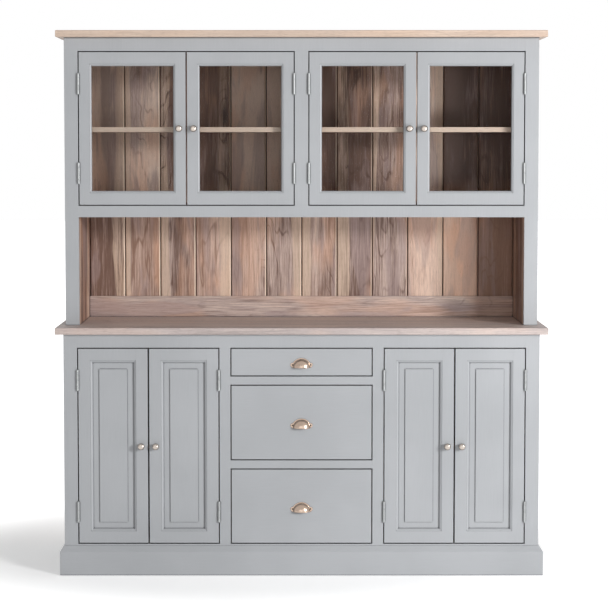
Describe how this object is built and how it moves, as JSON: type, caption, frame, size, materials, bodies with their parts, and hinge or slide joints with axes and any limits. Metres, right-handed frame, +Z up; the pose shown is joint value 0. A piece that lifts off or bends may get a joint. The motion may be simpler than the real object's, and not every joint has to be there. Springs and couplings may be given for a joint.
{
  "type": "buffet cabinet",
  "caption": "Painted wooden buffet cabinet: a base with panelled doors and drawers under a hutch with an open niche and glazed doors.",
  "frame": {"origin": "on the floor, in the middle of the worktop's footprint", "axes": "+X to the right seen from the front, +Y from the fronts to the back, +Z up"},
  "size_m": [1.8, 0.45, 2],
  "materials": {
    "painted_wood": "grey satin paint",
    "oiled_wood": "brown oiled boards with grain and knots",
    "plain_wood": "bare planed wood",
    "glass": "clear",
    "nickel": "warm polished nickel"
  },
  "bodies": {
    "carcass": {"base_back": "plain_wood", "base_face_frame": "painted_wood", "base_floor": "plain_wood", "base_partitions": "plain_wood", "base_plinth": "painted_wood", "base_shelves": "plain_wood", "base_sides": "painted_wood", "drawer_runners": "plain_wood", "frame_hinge_leaves": "nickel", "hinge_pins": "nickel", "hutch_back_rail": "oiled_wood", "hutch_backboards": "oiled_wood", "hutch_face_frame": "painted_wood", "hutch_floor": "oiled_wood", "hutch_partition": "oiled_wood", "hutch_shelves": "oiled_wood", "hutch_sides": "painted_wood", "hutch_top": "oiled_wood", "worktop": "oiled_wood"},
    "lower_door_1": {"lower_door_1_frame": "painted_wood", "lower_door_1_panel": "painted_wood", "lower_door_1_knob": "nickel", "lower_door_1_hinge_leaves": "nickel"},
    "lower_door_2": {"lower_door_2_frame": "painted_wood", "lower_door_2_panel": "painted_wood", "lower_door_2_knob": "nickel", "lower_door_2_hinge_leaves": "nickel"},
    "lower_door_3": {"lower_door_3_frame": "painted_wood", "lower_door_3_panel": "painted_wood", "lower_door_3_knob": "nickel", "lower_door_3_hinge_leaves": "nickel"},
    "lower_door_4": {"lower_door_4_frame": "painted_wood", "lower_door_4_panel": "painted_wood", "lower_door_4_knob": "nickel", "lower_door_4_hinge_leaves": "nickel"},
    "upper_door_1": {"upper_door_1_frame": "painted_wood", "upper_door_1_glass": "glass", "upper_door_1_knob": "nickel", "upper_door_1_hinge_leaves": "nickel"},
    "upper_door_2": {"upper_door_2_frame": "painted_wood", "upper_door_2_glass": "glass", "upper_door_2_knob": "nickel", "upper_door_2_hinge_leaves": "nickel"},
    "upper_door_3": {"upper_door_3_frame": "painted_wood", "upper_door_3_glass": "glass", "upper_door_3_knob": "nickel", "upper_door_3_hinge_leaves": "nickel"},
    "upper_door_4": {"upper_door_4_frame": "painted_wood", "upper_door_4_glass": "glass", "upper_door_4_knob": "nickel", "upper_door_4_hinge_leaves": "nickel"},
    "drawer_1": {"drawer_1_front": "painted_wood", "drawer_1_box": "plain_wood", "drawer_1_pull": "nickel"},
    "drawer_2": {"drawer_2_front": "painted_wood", "drawer_2_box": "plain_wood", "drawer_2_pull": "nickel"},
    "drawer_3": {"drawer_3_front": "painted_wood", "drawer_3_box": "plain_wood", "drawer_3_pull": "nickel"}
  },
  "joints": [
    {"name": "lower_door_1_hinge", "type": "hinge", "parent": "carcass", "child": "lower_door_1", "pos_m": [-0.82, -0.2045, 0.477], "axis": [0, 0, -1], "range_deg": [0, 170]},
    {"name": "lower_door_2_hinge", "type": "hinge", "parent": "carcass", "child": "lower_door_2", "pos_m": [-0.30267, -0.2045, 0.477], "axis": [0, 0, 1], "range_deg": [0, 90]},
    {"name": "lower_door_3_hinge", "type": "hinge", "parent": "carcass", "child": "lower_door_3", "pos_m": [0.30267, -0.2045, 0.477], "axis": [0, 0, -1], "range_deg": [0, 90]},
    {"name": "lower_door_4_hinge", "type": "hinge", "parent": "carcass", "child": "lower_door_4", "pos_m": [0.82, -0.2045, 0.477], "axis": [0, 0, 1], "range_deg": [0, 170]},
    {"name": "upper_door_1_hinge", "type": "hinge", "parent": "carcass", "child": "upper_door_1", "pos_m": [-0.82, -0.1295, 1.641], "axis": [0, 0, -1], "range_deg": [0, 170]},
    {"name": "upper_door_2_hinge", "type": "hinge", "parent": "carcass", "child": "upper_door_2", "pos_m": [-0.027, -0.1295, 1.641], "axis": [0, 0, 1], "range_deg": [0, 90]},
    {"name": "upper_door_3_hinge", "type": "hinge", "parent": "carcass", "child": "upper_door_3", "pos_m": [0.027, -0.1295, 1.641], "axis": [0, 0, -1], "range_deg": [0, 90]},
    {"name": "upper_door_4_hinge", "type": "hinge", "parent": "carcass", "child": "upper_door_4", "pos_m": [0.82, -0.1295, 1.641], "axis": [0, 0, 1], "range_deg": [0, 170]},
    {"name": "drawer_1_slide", "type": "slide", "parent": "carcass", "child": "drawer_1", "axis": [0, -1, 0], "range_m": [0, 0.3]},
    {"name": "drawer_2_slide", "type": "slide", "parent": "carcass", "child": "drawer_2", "axis": [0, -1, 0], "range_m": [0, 0.3]},
    {"name": "drawer_3_slide", "type": "slide", "parent": "carcass", "child": "drawer_3", "axis": [0, -1, 0], "range_m": [0, 0.3]}
  ]
}
